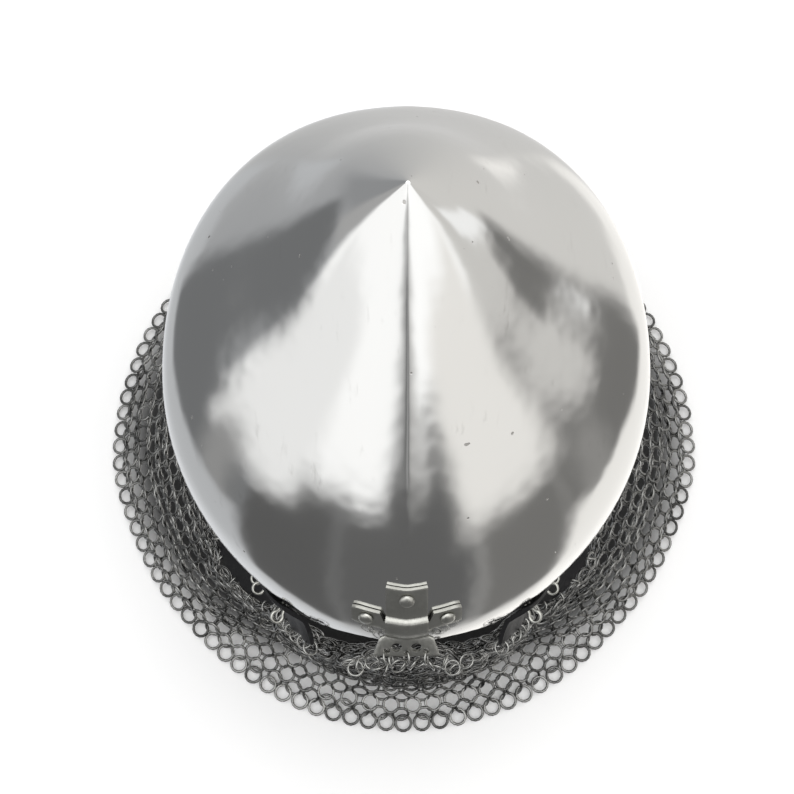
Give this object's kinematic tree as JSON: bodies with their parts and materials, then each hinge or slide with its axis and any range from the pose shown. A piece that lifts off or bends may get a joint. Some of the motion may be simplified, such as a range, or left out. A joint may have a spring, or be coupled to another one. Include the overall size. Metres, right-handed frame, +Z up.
{
  "type": "bascinet with aventail",
  "caption": "Ridged steel bascinet with an open face, a riveted brow nasal ending in a flared lip, and a mail aventail on a black leather band.",
  "frame": {"origin": "the seat inside the crown where the head bears, on the mid plane, 50 mm below the apex", "axes": "+Z up, -Y the way the face looks, +X the wearer's left"},
  "size_m": [0.3152, 0.3015, 0.3512],
  "materials": {
    "polished_steel": "mirror-polished plate with fine scratches",
    "mail_steel": "dark round wire",
    "black_leather": "matt black leather"
  },
  "bodies": {
    "root": {"bowl": "polished_steel", "nasal_bracket": "polished_steel", "nasal_plate": "polished_steel", "side_rivet_left": "polished_steel", "side_rivet_right": "polished_steel", "ridge_rivet": "polished_steel", "leather_band": "black_leather", "vervelle_01": "polished_steel", "vervelle_02": "polished_steel", "vervelle_03": "polished_steel", "vervelle_04": "polished_steel", "vervelle_05": "polished_steel", "vervelle_06": "polished_steel", "vervelle_07": "polished_steel", "vervelle_08": "polished_steel", "vervelle_09": "polished_steel", "vervelle_10": "polished_steel", "vervelle_11": "polished_steel", "vervelle_12": "polished_steel", "vervelle_13": "polished_steel", "vervelle_14": "polished_steel", "vervelle_15": "polished_steel", "vervelle_16": "polished_steel", "aventail": "mail_steel"}
  },
  "joints": []
}
